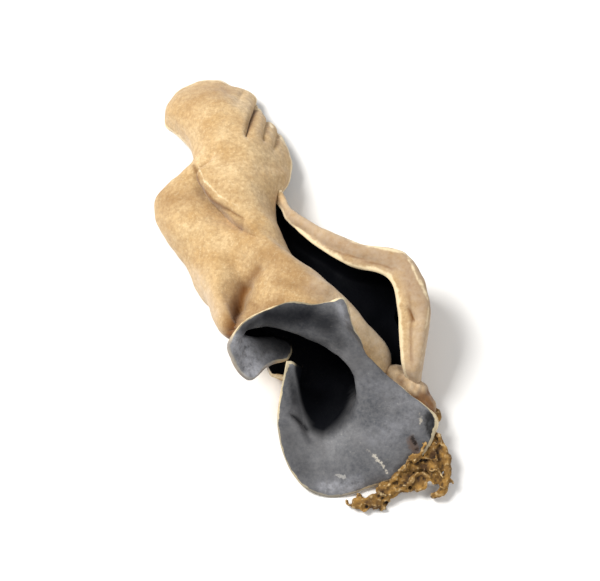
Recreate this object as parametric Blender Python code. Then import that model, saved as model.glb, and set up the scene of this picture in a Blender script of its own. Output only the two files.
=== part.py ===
"""Dried wood ear: one leathery sheet, rolled into a funnel that opens into a tongue,
with a second lobe beside the funnel and a crumbly holdfast at the foot of both."""

import math

import bmesh
import bpy
import numpy as np
from mathutils import Vector

MM = 0.001
SHEET_MM = 1.0
# The curves below are drawn on squared paper, looking down on the ear from the front:
# column, row, then the height above the table in mm.
SQUARE_MM = 0.565
PAPER_MIDDLE = (243.0, 374.3)
LOOKING_DOWN_DEG = 68.0
TABLE_CUT_MM = 0.0

# Rings of the funnel sheet, from the tip of the tongue to the rim of the mouth. Each runs
# clockwise, from the left margin over the back and round under the funnel.
FUNNEL_RINGS = [
    [(193.3, 309.0, 0.3), (193.6, 304.8, 1.2), (197.5, 299.8, 2.2), (203.0, 296.6, 2.8),
     (210.0, 295.2, 3.2), (217.0, 297.0, 3.2), (223.0, 299.0, 3.2), (228.0, 303.6, 2.6)],
    [(193.8, 312.5, 0.1), (195.0, 307.0, 4.0), (200.0, 302.5, 6.0), (208.0, 300.0, 7.2),
     (216.0, 301.5, 7.6), (222.5, 303.8, 6.6), (228.2, 306.4, 3.2)],
    [(199.6, 316.6, 1.2), (199.5, 311.5, 6.0), (204.0, 306.8, 9.0), (212.5, 305.5, 10.8),
     (220.5, 307.5, 10.8), (226.5, 309.5, 8.5), (232.0, 311.3, 3.6)],
    [(204.0, 322.0, 2.2), (203.8, 317.5, 7.5), (208.5, 314.0, 11.4), (216.5, 313.5, 13.0),
     (224.5, 315.5, 12.5), (231.0, 318.0, 9.5), (237.3, 319.5, 3.6)],
    [(205.2, 329.5, 3.2), (206.0, 325.0, 9.6), (211.5, 322.0, 13.6), (219.0, 322.0, 14.8),
     (227.0, 324.5, 13.6), (233.0, 327.0, 10.2), (239.4, 327.6, 4.2)],
    [(196.0, 345.0, 2.6), (191.8, 341.0, 6.0), (197.0, 336.5, 9.4), (205.0, 335.2, 10.4),
     (209.8, 336.2, 9.4), (206.9, 332.6, 13.8), (214.0, 330.6, 15.6), (222.0, 331.5, 15.8),
     (230.0, 334.5, 13.2), (236.0, 336.5, 7.0), (235.0, 339.0, 3.6)],
    [(199.0, 354.5, 2.6), (191.6, 346.5, 6.6), (197.0, 342.0, 10.4), (205.5, 340.8, 11.6),
     (214.5, 343.0, 10.0), (211.2, 339.4, 15.0), (219.0, 337.8, 16.4), (226.0, 339.5, 15.8),
     (231.5, 342.5, 12.0), (233.6, 346.0, 7.4), (230.0, 349.5, 3.2), (224.0, 351.0, 1.2)],
    [(204.0, 363.0, 2.2), (197.2, 355.5, 6.4), (199.5, 350.0, 10.8), (207.0, 347.5, 12.6),
     (219.4, 349.4, 11.6), (219.2, 345.8, 15.8), (227.0, 347.5, 16.4), (232.5, 350.5, 15.0),
     (236.2, 355.5, 9.6), (234.0, 359.0, 4.4), (228.0, 361.0, 1.4), (220.0, 361.5, 1.1)],
    [(210.0, 372.5, 2.0), (203.4, 364.5, 6.6), (205.0, 358.5, 10.8), (211.0, 355.0, 13.2),
     (218.5, 355.2, 13.8), (226.5, 355.5, 15.8), (234.5, 358.0, 17.0), (240.5, 362.5, 14.6),
     (243.5, 367.0, 9.0), (241.0, 370.0, 4.0), (234.0, 371.5, 1.2), (224.0, 371.5, 1.1),
     (216.0, 372.0, 1.3)],
    [(221.0, 383.5, 3.2), (209.6, 376.5, 6.6), (209.0, 368.5, 11.2), (214.5, 364.5, 13.8),
     (222.0, 366.5, 12.4), (231.0, 363.5, 16.8), (240.5, 364.5, 19.0), (249.0, 368.5, 17.4),
     (255.2, 374.5, 11.5), (257.0, 379.0, 5.6), (251.0, 382.0, 1.2), (240.0, 382.5, 1.1),
     (228.0, 382.5, 1.1), (222.5, 383.0, 1.3)],
    [(236.0, 390.0, 5.4), (220.0, 387.5, 6.4), (212.6, 381.5, 10.4), (214.0, 375.5, 14.0),
     (221.0, 377.0, 11.6), (229.0, 371.5, 15.8), (238.5, 370.0, 18.8), (248.5, 371.5, 19.2),
     (257.0, 376.5, 16.6), (264.0, 383.0, 11.8), (267.8, 389.0, 6.4), (262.5, 392.5, 1.2),
     (249.0, 393.0, 1.1), (236.0, 393.0, 1.1), (229.0, 393.0, 1.5)],
    [(239.5, 391.8, 7.4), (231.0, 390.0, 8.0), (220.0, 390.0, 10.6), (216.4, 386.5, 14.2),
     (219.0, 383.0, 16.2), (224.0, 383.5, 14.2), (232.5, 380.0, 17.2), (241.0, 380.5, 18.6),
     (251.0, 383.0, 17.0), (260.5, 389.5, 12.8), (267.5, 394.0, 9.8), (274.0, 397.5, 6.4),
     (271.0, 402.5, 1.4), (259.0, 405.0, 1.1), (246.0, 405.5, 1.1), (237.5, 404.5, 1.6),
     (233.0, 403.0, 3.8)],
    [(240.2, 394.6, 8.8), (234.5, 391.8, 9.8), (226.5, 390.6, 12.4), (221.6, 388.6, 16.2),
     (224.5, 386.2, 18.6), (231.0, 384.8, 19.8), (239.0, 386.3, 20.2), (246.0, 389.0, 19.6),
     (253.0, 393.0, 17.8), (259.5, 398.5, 15.2), (262.7, 404.7, 12.4), (263.0, 410.5, 10.0),
     (260.5, 416.5, 6.6), (256.0, 421.0, 4.2), (250.5, 423.6, 2.8), (246.0, 421.5, 2.8),
     (243.2, 416.0, 4.2), (242.4, 408.0, 7.2), (242.2, 400.0, 11.2)],
    [(239.4, 396.4, 9.2), (231.5, 397.2, 11.0), (224.5, 397.0, 14.2), (220.5, 391.5, 18.2),
     (226.0, 384.2, 20.8), (233.0, 381.6, 22.0), (241.0, 382.0, 22.6), (250.0, 383.0, 22.4),
     (257.0, 386.5, 21.8), (264.0, 395.5, 18.0), (270.0, 405.0, 13.2), (275.0, 413.5, 9.2),
     (275.0, 423.0, 6.2), (268.0, 431.0, 4.4), (257.0, 434.5, 3.6), (246.5, 430.0, 3.8),
     (240.5, 420.0, 6.0), (239.4, 408.0, 10.6), (240.6, 398.0, 14.2)],
    [(239.0, 397.2, 9.4), (231.5, 399.6, 11.6), (226.0, 404.0, 13.4), (221.6, 400.0, 16.0),
     (218.4, 392.5, 18.8), (222.5, 385.0, 20.8), (231.0, 380.0, 22.2), (240.0, 377.2, 22.8),
     (249.0, 378.0, 22.4), (253.4, 377.0, 22.0), (257.2, 375.6, 21.2), (260.4, 385.0, 18.8),
     (268.0, 398.5, 15.0), (280.0, 408.5, 10.4), (291.0, 419.0, 6.4), (287.0, 429.0, 3.0),
     (278.0, 437.5, 1.4), (266.0, 442.0, 0.8), (255.0, 445.3, 0.2), (245.0, 442.0, 0.7),
     (238.0, 432.0, 2.0), (235.2, 420.0, 5.6), (236.4, 408.0, 10.6), (238.4, 397.6, 14.4)],
]

# Rings of the second lobe, from beside the tongue to the foot. Each runs from its rolled
# margin over the top, down the outside and in along the floor to the funnel.
LOBE_RINGS = [
    [(237.6, 341.6, 8.6), (236.8, 337.0, 9.6), (236.0, 339.5, 6.0), (234.0, 342.5, 2.6),
     (230.0, 345.5, 1.8)],
    [(240.2, 350.0, 10.8), (241.0, 346.8, 12.0), (241.4, 350.0, 7.4), (239.5, 354.0, 2.2),
     (232.0, 357.0, 1.8)],
    [(246.8, 356.2, 12.4), (249.6, 351.8, 13.6), (250.2, 355.8, 7.6), (248.5, 360.5, 1.8),
     (238.0, 364.5, 1.8)],
    [(260.2, 364.4, 13.8), (262.6, 358.0, 15.4), (263.6, 362.9, 8.0), (261.0, 368.5, 1.4),
     (250.0, 375.5, 1.8)],
    [(273.0, 368.4, 14.4), (279.0, 361.2, 16.0), (280.6, 366.3, 8.4), (277.0, 372.5, 0.5),
     (262.0, 384.0, 1.8)],
    [(277.0, 379.0, 13.6), (286.6, 378.4, 15.0), (287.0, 383.6, 8.0), (283.0, 389.0, 0.2),
     (266.5, 392.5, 1.8)],
    [(277.8, 393.0, 11.2), (284.8, 391.8, 12.6), (285.6, 396.0, 7.0), (283.0, 400.5, 1.2),
     (271.0, 400.5, 1.8)],
    [(279.4, 401.6, 8.8), (282.6, 402.2, 9.8), (284.6, 405.6, 6.0), (283.0, 409.0, 1.4),
     (273.0, 407.0, 2.0)],
    [(281.4, 407.6, 5.2), (283.2, 408.0, 5.6), (284.0, 409.6, 4.2), (283.0, 411.0, 2.4),
     (276.0, 409.5, 2.6)],
]

# The foot runs under the right edge of the mouth to the holdfast: ends, then radii in mm.
FOOT_ENDS = ((272.0, 398.5, 5.4), (291.0, 418.0, 3.4))
FOOT_RADII = (3.6, 3.8)

# The holdfast's lumps: column, row, height of the middle, then the three radii in mm.
HOLDFAST_LUMPS = [
    ((288.0, 417.0, 3.0), (3.2, 3.6, 2.8)),
    ((284.0, 424.0, 2.2), (3.6, 3.0, 2.4)),
    ((290.0, 428.5, 2.4), (3.0, 3.6, 2.6)),
    ((291.5, 437.0, 1.8), (2.2, 3.4, 2.0)),
    ((286.0, 434.5, 1.9), (3.6, 2.8, 2.1)),
    ((280.0, 438.0, 1.8), (3.4, 2.6, 2.2)),
    ((274.0, 442.0, 1.7), (3.6, 2.6, 2.0)),
    ((269.0, 446.5, 1.5), (3.0, 2.4, 1.8)),
    ((263.0, 446.5, 1.2), (2.6, 2.2, 1.5)),
]
LUMP_ROUGHNESS = 0.2
LUMP_CLEAR_MM = 0.5

FUNNEL_STEPS = (38, 43)
LOBE_STEPS = (20, 13)


def place(column, row, height):
    """The point in mm that is seen at this square and stands this high."""
    lean = math.radians(LOOKING_DOWN_DEG)
    across = (column - PAPER_MIDDLE[0]) * SQUARE_MM
    up = (PAPER_MIDDLE[1] - row) * SQUARE_MM
    return (across, (up - height * math.cos(lean)) / math.sin(lean), height)


def cubic_through(knots, points, wanted):
    """Smooth curve through the points at the given knots, read at the wanted places."""
    knots = np.asarray(knots, float)
    points = np.asarray(points, float)
    steps = np.diff(knots)
    slopes = np.diff(points, axis=0) / steps.reshape(-1, *[1] * (points.ndim - 1))
    tangents = np.empty_like(points)
    tangents[0], tangents[-1] = slopes[0], slopes[-1]
    before = steps[:-1].reshape(-1, *[1] * (points.ndim - 1))
    after = steps[1:].reshape(-1, *[1] * (points.ndim - 1))
    tangents[1:-1] = (slopes[:-1] * after + slopes[1:] * before) / (before + after)
    span = np.clip(np.searchsorted(knots, wanted, side="right") - 1, 0, len(steps) - 1)
    width = steps[span]
    t = ((wanted - knots[span]) / width).reshape(-1, *[1] * (points.ndim - 1))
    width = width.reshape(t.shape)
    return (
        (2 * t**3 - 3 * t**2 + 1) * points[span]
        + (t**3 - 2 * t**2 + t) * width * tangents[span]
        + (3 * t**2 - 2 * t**3) * points[span + 1]
        + (t**3 - t**2) * width * tangents[span + 1]
    )


def even_ring(ring, count):
    """The ring as a smooth curve, read at evenly spaced places."""
    points = np.array([place(*p) for p in ring])
    knots = np.concatenate([[0], np.cumsum(np.linalg.norm(np.diff(points, axis=0), axis=1))])
    fine = cubic_through(knots, points, np.linspace(0, knots[-1], 400))
    run = np.concatenate([[0], np.cumsum(np.linalg.norm(np.diff(fine, axis=0), axis=1))])
    wanted = np.linspace(0, run[-1], count)
    return np.stack([np.interp(wanted, run, fine[:, k]) for k in range(3)], axis=1)


def sheet_points(rings, along, across):
    """Points of the smooth sheet through the rings, along x across."""
    even = np.array([even_ring(ring, across) for ring in rings])
    gaps = np.linalg.norm(np.diff(even, axis=0), axis=2).mean(axis=1)
    knots = np.concatenate([[0], np.cumsum(gaps)])
    return cubic_through(knots, even, np.linspace(0, knots[-1], along))


def sheet(name, rings, steps):
    """A grid laid on the smooth sheet and thickened."""
    along, across = steps
    points = sheet_points(rings, along, across)
    bm = bmesh.new()
    bmesh.ops.create_grid(bm, x_segments=along - 1, y_segments=across - 1, size=0.5)
    for vert in bm.verts:
        i = round((vert.co.x + 0.5) * (along - 1))
        j = round((vert.co.y + 0.5) * (across - 1))
        vert.co = Vector(points[i, j]) * MM
    obj = finish(name, bm)
    thick = obj.modifiers.new("thick", "SOLIDIFY")
    thick.thickness = SHEET_MM * MM
    thick.offset = 0.0
    return obj


def lump(name, middle, radii, number):
    """A rough pebble of dried wood and felt, just clear of the table."""
    bm = bmesh.new()
    bmesh.ops.create_icosphere(bm, subdivisions=2, radius=1.0)
    centre = Vector(place(*middle))
    for vert in bm.verts:
        x, y, z = vert.co
        bump = math.sin(5.1 * x + 1.7 * number) * math.sin(4.3 * y + 2.3 * number)
        bump += 0.6 * math.sin(6.7 * z + 3.1 * number)
        size = 1.0 + LUMP_ROUGHNESS * bump
        vert.co = centre + Vector((x * radii[0], y * radii[1], z * radii[2])) * size
    raise_by = max(0.0, LUMP_CLEAR_MM - min(vert.co.z for vert in bm.verts))
    for vert in bm.verts:
        vert.co.z += raise_by
        vert.co *= MM
    return finish(name, bm)


def foot():
    """The thick tan foot that carries the mouth's right edge and the second lobe."""
    start, end = (Vector(place(*p)) for p in FOOT_ENDS)
    run = end - start
    side = run.cross(Vector((0, 0, 1))).normalized()
    rise = side.cross(run).normalized()
    bm = bmesh.new()
    bmesh.ops.create_icosphere(bm, subdivisions=3, radius=1.0)
    for vert in bm.verts:
        x, y, z = vert.co
        middle = start + run * (z + 1) / 2
        vert.co = (middle + side * x * FOOT_RADII[0] + rise * y * FOOT_RADII[1]) * MM
    return finish("foot", bm)


def finish(name, bm):
    mesh = bpy.data.meshes.new(name)
    for face in bm.faces:
        face.smooth = True
    bm.to_mesh(mesh)
    bm.free()
    obj = bpy.data.objects.new(name, mesh)
    bpy.context.scene.collection.objects.link(obj)
    return obj


def helper(obj):
    obj.hide_render = True
    obj.display_type = "WIRE"
    return obj


def boolean(obj, other, operation):
    step = obj.modifiers.new(f"{operation.lower()} {other.name}", "BOOLEAN")
    step.operation = operation
    step.object = helper(other)
    step.solver = "EXACT"


def under_table():
    """Everything below the table top, which flattens the places that the ear rests on."""
    bm = bmesh.new()
    bmesh.ops.create_cube(bm, size=1.0)
    for vert in bm.verts:
        vert.co = Vector((vert.co.x * 200, vert.co.y * 200, (vert.co.z - 0.5) * 20)) * MM
        vert.co.z += TABLE_CUT_MM * MM
    return finish("under_table", bm)


def build():
    for obj in list(bpy.data.objects):
        bpy.data.objects.remove(obj, do_unlink=True)
    ear = sheet("wood_ear", FUNNEL_RINGS, FUNNEL_STEPS)
    boolean(ear, sheet("second_lobe", LOBE_RINGS, LOBE_STEPS), "UNION")
    boolean(ear, foot(), "UNION")
    for number, (middle, radii) in enumerate(HOLDFAST_LUMPS):
        boolean(ear, lump(f"holdfast_{number}", middle, radii, number), "UNION")
    boolean(ear, under_table(), "DIFFERENCE")
    felt = bpy.data.materials.new("tan felt back")
    felt.use_nodes = True
    felt.node_tree.nodes["Principled BSDF"].inputs["Base Color"].default_value = (
        0.52, 0.36, 0.17, 1.0)
    felt.node_tree.nodes["Principled BSDF"].inputs["Roughness"].default_value = 0.9
    ear.data.materials.append(felt)


build()
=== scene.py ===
# %% [markdown]
# # A dried wood ear
# A wood ear is a jelly fungus that grows on dead wood. Dried, it is one thin leathery sheet:
# tan and felt-like on the back, smooth slate grey on the inner face, with a thin pale margin.
# This one has rolled into a funnel whose far end opens into a tongue. A second lobe stands
# beside the funnel, and a crumbly holdfast sits at the foot of both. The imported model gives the
# frame and the box; everything below is in metres in that frame.

# %% Load the frame
import math
import random

import bmesh
import bpy
import numpy as np
from mathutils import Matrix, Vector, noise


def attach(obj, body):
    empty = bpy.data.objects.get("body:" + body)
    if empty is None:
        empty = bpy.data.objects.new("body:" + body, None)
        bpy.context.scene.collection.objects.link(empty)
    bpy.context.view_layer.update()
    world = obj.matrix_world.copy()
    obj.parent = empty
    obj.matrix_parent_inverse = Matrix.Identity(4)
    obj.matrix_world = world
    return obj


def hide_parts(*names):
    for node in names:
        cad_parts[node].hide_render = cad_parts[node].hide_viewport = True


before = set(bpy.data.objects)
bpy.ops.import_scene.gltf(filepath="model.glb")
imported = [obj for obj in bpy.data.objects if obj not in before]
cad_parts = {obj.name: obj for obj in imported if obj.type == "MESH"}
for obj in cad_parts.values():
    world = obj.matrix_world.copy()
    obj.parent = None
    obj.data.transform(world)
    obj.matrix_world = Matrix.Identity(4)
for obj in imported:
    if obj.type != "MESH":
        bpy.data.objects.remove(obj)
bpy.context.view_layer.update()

# %% [markdown]
# ## Where the eye stands
# The ear is seen from the front and from high up. A long lens from half a metre keeps the near
# mouth and the far tongue in true proportion, as a photographer of small things would choose.
# The camera is aimed with `to_track_quat`, which turns its -Z axis along the line of sight.

# %% Camera
MM = 0.001
LOOKING_DOWN_DEG = 68.0
EYE_DISTANCE = 0.46
LENS_MM = 138.0
AIM_AT = Vector((0.0, -2.6, 8.0)) * MM


def seen_from(azimuth_deg, elevation_deg):
    """Unit vector from the ear towards the eye."""
    azimuth, elevation = math.radians(azimuth_deg), math.radians(elevation_deg)
    flat = math.cos(elevation)
    return Vector((math.sin(azimuth) * flat, -math.cos(azimuth) * flat, math.sin(elevation)))


lens = bpy.data.cameras.new("camera")
lens.lens = LENS_MM
lens.clip_start = 0.01
camera = bpy.data.objects.new("camera", lens)
eye_line = seen_from(0.0, LOOKING_DOWN_DEG)
camera.location = AIM_AT + eye_line * EYE_DISTANCE
camera.rotation_euler = (-eye_line).to_track_quat("-Z", "Y").to_euler()
bpy.context.scene.collection.objects.link(camera)
bpy.context.scene.camera = camera
print("camera at", [round(v, 3) for v in camera.location])

# %% [markdown]
# ## Floor and light
# A pale matt floor catches a soft shadow. Three things light a small matt object well: a broad
# key lamp from the upper left, a weaker one from the right to open the shadows, and a pale sky
# for what is left. Broad lamps close to the ear give soft shadows with no hard edge.

# %% Colours
def linear(hex_colour, alpha=1.0):
    """An sRGB hex colour as the linear values that Blender's sockets take."""
    channels = [int(hex_colour[k:k + 2], 16) / 255 for k in (1, 3, 5)]
    light = [c / 12.92 if c <= 0.04045 else ((c + 0.055) / 1.055) ** 2.4 for c in channels]
    return (*light, alpha)


# %% Floor, lamps and sky
FLOOR_SIDE = 1.6
LAMPS = {
    "key_lamp": ((-0.36, 0.14, 0.54), 0.26, 5.6),
    "fill_lamp": ((0.42, -0.30, 0.54), 0.50, 1.6),
}
SKY_STRENGTH = 0.5

floor_bm = bmesh.new()
bmesh.ops.create_grid(floor_bm, x_segments=1, y_segments=1, size=FLOOR_SIDE / 2)
floor_mesh = bpy.data.meshes.new("floor")
floor_bm.to_mesh(floor_mesh)
floor_bm.free()
floor = bpy.data.objects.new("floor", floor_mesh)
bpy.context.scene.collection.objects.link(floor)
white_paper = bpy.data.materials.new("matt white paper")
white_paper.use_nodes = True
paper = white_paper.node_tree.nodes["Principled BSDF"]
paper.inputs["Base Color"].default_value = linear("#EDEBE7")
paper.inputs["Roughness"].default_value = 0.9
floor_mesh.materials.append(white_paper)

for lamp_name, (place_at, side, power) in LAMPS.items():
    lamp = bpy.data.lights.new(lamp_name, "AREA")
    lamp.size = side
    lamp.energy = power
    lamp_object = bpy.data.objects.new(lamp_name, lamp)
    lamp_object.location = place_at
    lamp_object.rotation_euler = Vector(place_at).to_track_quat("Z", "Y").to_euler()
    bpy.context.scene.collection.objects.link(lamp_object)

sky = bpy.data.worlds.new("pale sky")
sky.use_nodes = True
sky.node_tree.nodes["Background"].inputs["Color"].default_value = linear("#F4F6FA")
sky.node_tree.nodes["Background"].inputs["Strength"].default_value = SKY_STRENGTH
bpy.context.scene.world = sky
bpy.context.scene.view_settings.view_transform = "Standard"
print("floor", FLOOR_SIDE, "m across,", len(LAMPS), "lamps")

# %% [markdown]
# ## The form of the sheet
# The sheet is a smooth surface through given rings. Each ring is drawn as on squared
# paper, looking down on the ear from the front: column, row, and height above the table. The
# rings of the funnel run from the tip of the tongue to the rim of the mouth. Those of the second
# lobe run from beside the tongue to the foot. A curve through every ring, and then along all
# the rings, gives a fine grid. The dried sheet's folds are all in these few numbers, so a fold is
# moved by moving its points.

# %% Squared paper
SQUARE_MM = 0.565
PAPER_MIDDLE = (243.0, 374.3)
LEAN = math.radians(LOOKING_DOWN_DEG)


def place(column, row, height):
    """The point in mm that is seen at this square and stands this high."""
    across = (column - PAPER_MIDDLE[0]) * SQUARE_MM
    up = (PAPER_MIDDLE[1] - row) * SQUARE_MM
    return (across, (up - height * math.cos(LEAN)) / math.sin(LEAN), height)


def squares(points):
    """The columns and rows at which points in mm are seen."""
    up = points[..., 1] * math.sin(LEAN) + points[..., 2] * math.cos(LEAN)
    return points[..., 0] / SQUARE_MM + PAPER_MIDDLE[0], PAPER_MIDDLE[1] - up / SQUARE_MM


# %% Rings of the funnel
FUNNEL_RINGS = [
    [(193.3, 309.0, 0.3), (193.6, 304.8, 1.2), (197.5, 299.8, 2.2), (203.0, 296.6, 2.8),
     (210.0, 295.2, 3.2), (217.0, 297.0, 3.2), (223.0, 299.0, 3.2), (228.0, 303.6, 2.6)],
    [(193.8, 312.5, 0.1), (195.0, 307.0, 4.0), (200.0, 302.5, 6.0), (208.0, 300.0, 7.2),
     (216.0, 301.5, 7.6), (222.5, 303.8, 6.6), (228.2, 306.4, 3.2)],
    [(199.6, 316.6, 1.2), (199.5, 311.5, 6.0), (204.0, 306.8, 9.0), (212.5, 305.5, 10.8),
     (220.5, 307.5, 10.8), (226.5, 309.5, 8.5), (232.0, 311.3, 3.6)],
    [(204.0, 322.0, 2.2), (203.8, 317.5, 7.5), (208.5, 314.0, 11.4), (216.5, 313.5, 13.0),
     (224.5, 315.5, 12.5), (231.0, 318.0, 9.5), (237.3, 319.5, 3.6)],
    [(205.2, 329.5, 3.2), (206.0, 325.0, 9.6), (211.5, 322.0, 13.6), (219.0, 322.0, 14.8),
     (227.0, 324.5, 13.6), (233.0, 327.0, 10.2), (239.4, 327.6, 4.2)],
    [(196.0, 345.0, 2.6), (191.8, 341.0, 6.0), (197.0, 336.5, 9.4), (205.0, 335.2, 10.4),
     (209.8, 336.2, 9.4), (206.9, 332.6, 13.8), (214.0, 330.6, 15.6), (222.0, 331.5, 15.8),
     (230.0, 334.5, 13.2), (236.0, 336.5, 7.0), (235.0, 339.0, 3.6)],
    [(199.0, 354.5, 2.6), (191.6, 346.5, 6.6), (197.0, 342.0, 10.4), (205.5, 340.8, 11.6),
     (214.5, 343.0, 10.0), (211.2, 339.4, 15.0), (219.0, 337.8, 16.4), (226.0, 339.5, 15.8),
     (231.5, 342.5, 12.0), (233.6, 346.0, 7.4), (230.0, 349.5, 3.2), (224.0, 351.0, 1.2)],
    [(204.0, 363.0, 2.2), (197.2, 355.5, 6.4), (199.5, 350.0, 10.8), (207.0, 347.5, 12.6),
     (219.4, 349.4, 11.6), (219.2, 345.8, 15.8), (227.0, 347.5, 16.4), (232.5, 350.5, 15.0),
     (236.2, 355.5, 9.6), (234.0, 359.0, 4.4), (228.0, 361.0, 1.4), (220.0, 361.5, 1.1)],
    [(210.0, 372.5, 2.0), (203.4, 364.5, 6.6), (205.0, 358.5, 10.8), (211.0, 355.0, 13.2),
     (218.5, 355.2, 13.8), (226.5, 355.5, 15.8), (234.5, 358.0, 17.0), (240.5, 362.5, 14.6),
     (243.5, 367.0, 9.0), (241.0, 370.0, 4.0), (234.0, 371.5, 1.2), (224.0, 371.5, 1.1),
     (216.0, 372.0, 1.3)],
    [(221.0, 383.5, 3.2), (209.6, 376.5, 6.6), (209.0, 368.5, 11.2), (214.5, 364.5, 13.8),
     (222.0, 366.5, 12.4), (231.0, 363.5, 16.8), (240.5, 364.5, 19.0), (249.0, 368.5, 17.4),
     (255.2, 374.5, 11.5), (257.0, 379.0, 5.6), (251.0, 382.0, 1.2), (240.0, 382.5, 1.1),
     (228.0, 382.5, 1.1), (222.5, 383.0, 1.3)],
    [(236.0, 390.0, 5.4), (220.0, 387.5, 6.4), (212.6, 381.5, 10.4), (214.0, 375.5, 14.0),
     (221.0, 377.0, 11.6), (229.0, 371.5, 15.8), (238.5, 370.0, 18.8), (248.5, 371.5, 19.2),
     (257.0, 376.5, 16.6), (264.0, 383.0, 11.8), (267.8, 389.0, 6.4), (262.5, 392.5, 1.2),
     (249.0, 393.0, 1.1), (236.0, 393.0, 1.1), (229.0, 393.0, 1.5)],
    [(239.5, 391.8, 7.4), (231.0, 390.0, 8.0), (220.0, 390.0, 10.6), (216.4, 386.5, 14.2),
     (219.0, 383.0, 16.2), (224.0, 383.5, 14.2), (232.5, 380.0, 17.2), (241.0, 380.5, 18.6),
     (251.0, 383.0, 17.0), (260.5, 389.5, 12.8), (267.5, 394.0, 9.8), (274.0, 397.5, 6.4),
     (271.0, 402.5, 1.4), (259.0, 405.0, 1.1), (246.0, 405.5, 1.1), (237.5, 404.5, 1.6),
     (233.0, 403.0, 3.8)],
    [(240.2, 394.6, 8.8), (234.5, 391.8, 9.8), (226.5, 390.6, 12.4), (221.6, 388.6, 16.2),
     (224.5, 386.2, 18.6), (231.0, 384.8, 19.8), (239.0, 386.3, 20.2), (246.0, 389.0, 19.6),
     (253.0, 393.0, 17.8), (259.5, 398.5, 15.2), (262.7, 404.7, 12.4), (263.0, 410.5, 10.0),
     (260.5, 416.5, 6.6), (256.0, 421.0, 4.2), (250.5, 423.6, 2.8), (246.0, 421.5, 2.8),
     (243.2, 416.0, 4.2), (242.4, 408.0, 7.2), (242.2, 400.0, 11.2)],
    [(239.4, 396.4, 9.2), (231.5, 397.2, 11.0), (224.5, 397.0, 14.2), (220.5, 391.5, 18.2),
     (226.0, 384.2, 20.8), (233.0, 381.6, 22.0), (241.0, 382.0, 22.6), (250.0, 383.0, 22.4),
     (257.0, 386.5, 21.8), (264.0, 395.5, 18.0), (270.0, 405.0, 13.2), (275.0, 413.5, 9.2),
     (275.0, 423.0, 6.2), (268.0, 431.0, 4.4), (257.0, 434.5, 3.6), (246.5, 430.0, 3.8),
     (240.5, 420.0, 6.0), (239.4, 408.0, 10.6), (240.6, 398.0, 14.2)],
    [(239.0, 397.2, 9.4), (231.5, 399.6, 11.6), (226.0, 404.0, 13.4), (221.6, 400.0, 16.0),
     (218.4, 392.5, 18.8), (222.5, 385.0, 20.8), (231.0, 380.0, 22.2), (240.0, 377.2, 22.8),
     (249.0, 378.0, 22.4), (253.4, 377.0, 22.0), (257.2, 375.6, 21.2), (260.4, 385.0, 18.8),
     (268.0, 398.5, 15.0), (280.0, 408.5, 10.4), (291.0, 419.0, 6.4), (287.0, 429.0, 3.0),
     (278.0, 437.5, 1.4), (266.0, 442.0, 0.8), (255.0, 445.3, 0.2), (245.0, 442.0, 0.7),
     (238.0, 432.0, 2.0), (235.2, 420.0, 5.6), (236.4, 408.0, 10.6), (238.4, 397.6, 14.4)],
]
# The ring, counted from the tongue, at which the sheet turns down into the throat.
THROAT_RING = 12
print("funnel rings", len(FUNNEL_RINGS), "with", sum(map(len, FUNNEL_RINGS)), "points")

# %% Rings of the second lobe
# Each ring runs from its rolled margin over the top, down the outside and in along the floor
# to the funnel.
LOBE_RINGS = [
    [(235.4, 342.0, 8.0), (235.4, 337.4, 9.2), (235.2, 338.4, 6.2), (233.6, 342.5, 2.6),
     (230.0, 345.5, 1.8)],
    [(240.2, 350.0, 10.8), (241.0, 346.8, 12.0), (241.4, 350.0, 7.4), (239.5, 354.0, 2.2),
     (232.0, 357.0, 1.8)],
    [(246.8, 356.2, 12.4), (249.6, 351.8, 13.6), (250.2, 355.8, 7.6), (248.5, 360.5, 1.8),
     (238.0, 364.5, 1.8)],
    [(260.2, 364.4, 13.8), (262.6, 358.0, 15.4), (263.6, 362.9, 8.0), (261.0, 368.5, 1.4),
     (250.0, 375.5, 1.8)],
    [(273.0, 368.4, 14.4), (279.0, 361.2, 16.0), (280.6, 366.3, 8.4), (277.0, 372.5, 0.5),
     (262.0, 384.0, 1.8)],
    [(277.0, 379.0, 13.6), (286.6, 378.4, 15.0), (287.0, 383.6, 8.0), (283.0, 389.0, 0.2),
     (266.5, 392.5, 1.8)],
    [(277.8, 393.0, 11.2), (284.8, 391.8, 12.6), (285.6, 396.0, 7.0), (283.0, 400.5, 1.2),
     (271.0, 400.5, 1.8)],
    [(279.4, 401.6, 8.8), (282.6, 402.2, 9.8), (284.6, 405.6, 6.0), (283.0, 409.0, 1.4),
     (273.0, 407.0, 2.0)],
    [(281.4, 407.6, 5.2), (283.2, 408.0, 5.6), (284.0, 409.6, 4.2), (283.0, 411.0, 2.4),
     (276.0, 409.5, 2.6)],
]
print("lobe rings", len(LOBE_RINGS), "with", sum(map(len, LOBE_RINGS)), "points")

# %% [markdown]
# ## A smooth surface through the rings
# A cubic curve through a row of points needs the slope at each point. Here the slope is the
# average of the two neighbouring steps, weighted by their lengths, which keeps the curve calm
# where the points are unevenly spaced. First each ring becomes a curve and is read at equal
# steps, then the same is done from ring to ring.

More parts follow.
